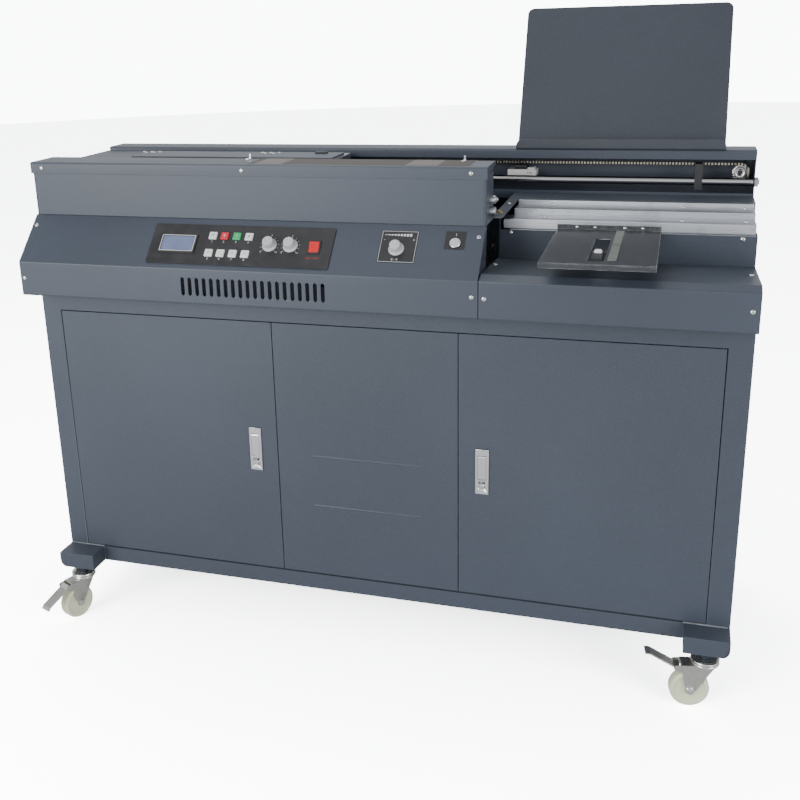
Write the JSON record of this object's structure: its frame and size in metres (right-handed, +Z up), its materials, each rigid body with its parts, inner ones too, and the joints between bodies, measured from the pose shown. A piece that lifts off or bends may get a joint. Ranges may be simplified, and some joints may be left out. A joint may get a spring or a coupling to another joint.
{
  "type": "book binding machine",
  "caption": "Floor-standing glue book binder: cabinet with doors, control console, chain-driven clamp carriage and nipping bars",
  "frame": {"origin": "on the floor under the middle of the machine", "axes": "+Z up, +X to the machine's right seen from the front, front towards -Y"},
  "size_m": [1.4597, 0.6498, 1.3024],
  "materials": {
    "cabinet_frame": "charcoal powder coat, fine orange peel",
    "centre_panel": "charcoal powder coat",
    "console_cover": "charcoal powder coat",
    "upper_chassis": "charcoal powder coat",
    "back_box": "charcoal powder coat",
    "hood_front_panel": "charcoal powder coat",
    "hood_top_cover": "charcoal powder coat",
    "delivery_cover": "charcoal powder coat",
    "riser_panel": "charcoal powder coat",
    "cover_rack": "charcoal powder coat",
    "left_door": "charcoal powder coat",
    "right_door": "charcoal powder coat",
    "cover_table": "near-black smooth coat",
    "table_strip": "dull plain strip",
    "control_panel": "satin black",
    "black_plastic": "matt black",
    "motor_black": "black paint",
    "aluminium": "milled and anodised",
    "ground_steel": "ground",
    "plated_steel": "satin chrome",
    "zinc_plate": "zinc plated pressing",
    "cream_nylon": "cream nylon",
    "white_plastic": "white key caps",
    "grey_plastic": "grey knobs",
    "red_plastic": "red",
    "green_plastic": "green"
  },
  "bodies": {
    "frame": {"cabinet_frame": "cabinet_frame", "centre_panel": "centre_panel", "console_cover": "console_cover", "upper_chassis": "upper_chassis", "back_box": "back_box", "hood_front_panel": "hood_front_panel", "hood_top_cover": "hood_top_cover", "delivery_cover": "delivery_cover", "riser_panel": "riser_panel", "cover_rack": "cover_rack", "control_panel": "control_panel", "guide_rod": "ground_steel", "rod_stop": "motor_black", "drive_chain": "ground_steel", "drive_motor": "motor_black", "rear_platen": "aluminium", "glue_tank": "aluminium", "milling_motor": "motor_black"},
    "carriage": {"carriage": "aluminium"},
    "clamp_jaw": {"clamp_jaw": "aluminium"},
    "front_platen": {"front_platen": "aluminium", "cover_table": "cover_table", "table_strip": "table_strip", "roller_bracket": "motor_black"},
    "press_roller": {"press_roller": "white_plastic"},
    "drive_sprocket": {"drive_sprocket": "ground_steel"},
    "idler_sprocket": {"idler_sprocket": "ground_steel"},
    "glue_roller": {"glue_roller": "ground_steel"},
    "milling_cutter": {"milling_cutter": "ground_steel"},
    "left_door": {"left_door": "left_door", "left_lock_plate": "plated_steel"},
    "left_lock_handle": {"left_lock_handle": "plated_steel"},
    "left_lock_button": {"left_lock_button": "plated_steel"},
    "right_door": {"right_door": "right_door", "right_lock_plate": "plated_steel"},
    "right_lock_handle": {"right_lock_handle": "plated_steel"},
    "right_lock_button": {"right_lock_button": "plated_steel"},
    "key_1": {"key_1": "white_plastic"},
    "key_2": {"key_2": "red_plastic"},
    "key_3": {"key_3": "green_plastic"},
    "key_4": {"key_4": "white_plastic"},
    "key_5": {"key_5": "white_plastic"},
    "key_6": {"key_6": "white_plastic"},
    "key_7": {"key_7": "white_plastic"},
    "key_8": {"key_8": "white_plastic"},
    "pressure_knob": {"pressure_knob": "grey_plastic"},
    "timer_knob": {"timer_knob": "grey_plastic"},
    "speed_knob": {"speed_knob": "grey_plastic"},
    "rocker_switch": {"rocker_switch": "red_plastic"},
    "start_button": {"start_button": "plated_steel"},
    "front_left_fork": {"front_left_castor_fork": "zinc_plate"},
    "front_left_pedal": {"front_left_castor_pedal": "zinc_plate"},
    "front_left_wheel": {"front_left_castor_wheel": "cream_nylon"},
    "front_right_fork": {"front_right_castor_fork": "zinc_plate"},
    "front_right_pedal": {"front_right_castor_pedal": "zinc_plate"},
    "front_right_wheel": {"front_right_castor_wheel": "cream_nylon"},
    "rear_left_fork": {"rear_left_castor_fork": "zinc_plate"},
    "rear_left_wheel": {"rear_left_castor_wheel": "cream_nylon"},
    "rear_right_fork": {"rear_right_castor_fork": "zinc_plate"},
    "rear_right_wheel": {"rear_right_castor_wheel": "cream_nylon"}
  },
  "joints": [
    {"name": "carriage_travel", "type": "slide", "parent": "frame", "child": "carriage", "axis": [1, 0, 0], "range_m": [0, 0.8255]},
    {"name": "clamp_closing", "type": "slide", "parent": "carriage", "child": "clamp_jaw", "axis": [0, -1, 0], "range_m": [0, 0.072]},
    {"name": "nip_opening", "type": "slide", "parent": "frame", "child": "front_platen", "axis": [0, -1, 0], "range_m": [0, 0.045]},
    {"name": "press_roller_spin", "type": "hinge", "parent": "front_platen", "child": "press_roller", "pos_m": [0.449, -0.235, 0.891], "axis": [1, 0, 0], "continuous": true},
    {"name": "drive_sprocket_spin", "type": "hinge", "parent": "frame", "child": "drive_sprocket", "pos_m": [-0.66055, 0.208, 0.9725], "axis": [0, 1, 0], "continuous": true},
    {"name": "idler_sprocket_spin", "type": "hinge", "parent": "frame", "child": "idler_sprocket", "pos_m": [0.692, 0.208, 0.9725], "axis": [0, 1, 0], "continuous": true},
    {"name": "glue_roller_spin", "type": "hinge", "parent": "frame", "child": "glue_roller", "pos_m": [0.115, 0.02, 0.903], "axis": [0, 1, 0], "continuous": true},
    {"name": "milling_spin", "type": "hinge", "parent": "frame", "child": "milling_cutter", "pos_m": [-0.055, 0.02, 0.9315], "axis": [0, 0, 1], "continuous": true},
    {"name": "left_door_hinge", "type": "hinge", "parent": "frame", "child": "left_door", "pos_m": [-0.6674, -0.171, 0.436], "axis": [0, 0, -1], "range_deg": [0, 110]},
    {"name": "left_lock_flap", "type": "hinge", "parent": "left_door", "child": "left_lock_handle", "pos_m": [-0.2415, -0.1748, 0.4655], "axis": [-1, 0, 0], "range_deg": [0, 35]},
    {"name": "left_lock_push", "type": "slide", "parent": "left_door", "child": "left_lock_button", "axis": [0, 1, 0], "range_m": [0, 0.002], "stiffness_N_per_m": 600, "springref_m": -0.001},
    {"name": "right_door_hinge", "type": "hinge", "parent": "frame", "child": "right_door", "pos_m": [0.6674, -0.171, 0.436], "axis": [0, 0, 1], "range_deg": [0, 110]},
    {"name": "right_lock_flap", "type": "hinge", "parent": "right_door", "child": "right_lock_handle", "pos_m": [0.2385, -0.1748, 0.4625], "axis": [-1, 0, 0], "range_deg": [0, 35]},
    {"name": "right_lock_push", "type": "slide", "parent": "right_door", "child": "right_lock_button", "axis": [0, 1, 0], "range_m": [0, 0.002], "stiffness_N_per_m": 600, "springref_m": -0.001},
    {"name": "key_1_press", "type": "slide", "parent": "frame", "child": "key_1", "axis": [0, 0.7122, -0.702], "range_m": [0, 0.001], "stiffness_N_per_m": 800, "springref_m": -0.001},
    {"name": "key_2_press", "type": "slide", "parent": "frame", "child": "key_2", "axis": [0, 0.7122, -0.702], "range_m": [0, 0.001], "stiffness_N_per_m": 800, "springref_m": -0.001},
    {"name": "key_3_press", "type": "slide", "parent": "frame", "child": "key_3", "axis": [0, 0.7122, -0.702], "range_m": [0, 0.001], "stiffness_N_per_m": 800, "springref_m": -0.001},
    {"name": "key_4_press", "type": "slide", "parent": "frame", "child": "key_4", "axis": [0, 0.7122, -0.702], "range_m": [0, 0.001], "stiffness_N_per_m": 800, "springref_m": -0.001},
    {"name": "key_5_press", "type": "slide", "parent": "frame", "child": "key_5", "axis": [0, 0.7122, -0.702], "range_m": [0, 0.001], "stiffness_N_per_m": 800, "springref_m": -0.001},
    {"name": "key_6_press", "type": "slide", "parent": "frame", "child": "key_6", "axis": [0, 0.7122, -0.702], "range_m": [0, 0.001], "stiffness_N_per_m": 800, "springref_m": -0.001},
    {"name": "key_7_press", "type": "slide", "parent": "frame", "child": "key_7", "axis": [0, 0.7122, -0.702], "range_m": [0, 0.001], "stiffness_N_per_m": 800, "springref_m": -0.001},
    {"name": "key_8_press", "type": "slide", "parent": "frame", "child": "key_8", "axis": [0, 0.7122, -0.702], "range_m": [0, 0.001], "stiffness_N_per_m": 800, "springref_m": -0.001},
    {"name": "pressure_knob_turn", "type": "hinge", "parent": "frame", "child": "pressure_knob", "pos_m": [-0.176, -0.19952, 0.87864], "axis": [0, -0.7122, 0.702], "range_deg": [-150, 150]},
    {"name": "timer_knob_turn", "type": "hinge", "parent": "frame", "child": "timer_knob", "pos_m": [-0.133, -0.19952, 0.87864], "axis": [0, -0.7122, 0.702], "range_deg": [-150, 150]},
    {"name": "speed_knob_turn", "type": "hinge", "parent": "frame", "child": "speed_knob", "pos_m": [0.077, -0.19577, 0.87917], "axis": [0, -0.7122, 0.702], "range_deg": [-150, 150]},
    {"name": "rocker_tilt", "type": "hinge", "parent": "frame", "child": "rocker_switch", "pos_m": [-0.084, -0.1995, 0.87582], "axis": [-1, 0, 0], "range_deg": [0, 14]},
    {"name": "start_press", "type": "slide", "parent": "frame", "child": "start_button", "axis": [0, 0.7122, -0.702], "range_m": [0, 0.002], "stiffness_N_per_m": 600, "springref_m": -0.001},
    {"name": "front_left_swivel", "type": "hinge", "parent": "frame", "child": "front_left_fork", "pos_m": [-0.6775, -0.204, 0.1], "axis": [0, 0, 1], "continuous": true},
    {"name": "front_left_roll", "type": "hinge", "parent": "front_left_fork", "child": "front_left_wheel", "pos_m": [-0.68761, -0.22903, 0.0375], "axis": [-0.9272, 0.3746, 0], "continuous": true},
    {"name": "front_left_brake", "type": "hinge", "parent": "front_left_fork", "child": "front_left_pedal", "pos_m": [-0.69754, -0.2536, 0.0855], "axis": [0.9272, -0.3746, 0], "range_deg": [-55, 0]},
    {"name": "front_right_swivel", "type": "hinge", "parent": "frame", "child": "front_right_fork", "pos_m": [0.6775, -0.204, 0.1], "axis": [0, 0, 1], "continuous": true},
    {"name": "front_right_roll", "type": "hinge", "parent": "front_right_fork", "child": "front_right_wheel", "pos_m": [0.65091, -0.20869, 0.0375], "axis": [-0.1736, 0.9848, 0], "continuous": true},
    {"name": "front_right_brake", "type": "hinge", "parent": "front_right_fork", "child": "front_right_pedal", "pos_m": [0.62481, -0.21329, 0.0855], "axis": [0.1736, -0.9848, 0], "range_deg": [0, 40]},
    {"name": "rear_left_swivel", "type": "hinge", "parent": "frame", "child": "rear_left_fork", "pos_m": [-0.6775, 0.267, 0.1], "axis": [0, 0, 1], "continuous": true},
    {"name": "rear_left_roll", "type": "hinge", "parent": "rear_left_fork", "child": "rear_left_wheel", "pos_m": [-0.664, 0.29038, 0.0375], "axis": [0.866, -0.5, 0], "continuous": true},
    {"name": "rear_right_swivel", "type": "hinge", "parent": "frame", "child": "rear_right_fork", "pos_m": [0.6775, 0.267, 0.1], "axis": [0, 0, 1], "continuous": true},
    {"name": "rear_right_roll", "type": "hinge", "parent": "rear_right_fork", "child": "rear_right_wheel", "pos_m": [0.66827, 0.29237, 0.0375], "axis": [0.9397, 0.342, 0], "continuous": true}
  ],
  "couplings": [
    {"joint": "drive_sprocket_spin", "follows": "carriage_travel", "rad_per_m": 61.845},
    {"joint": "idler_sprocket_spin", "follows": "carriage_travel", "rad_per_m": 61.845}
  ]
}
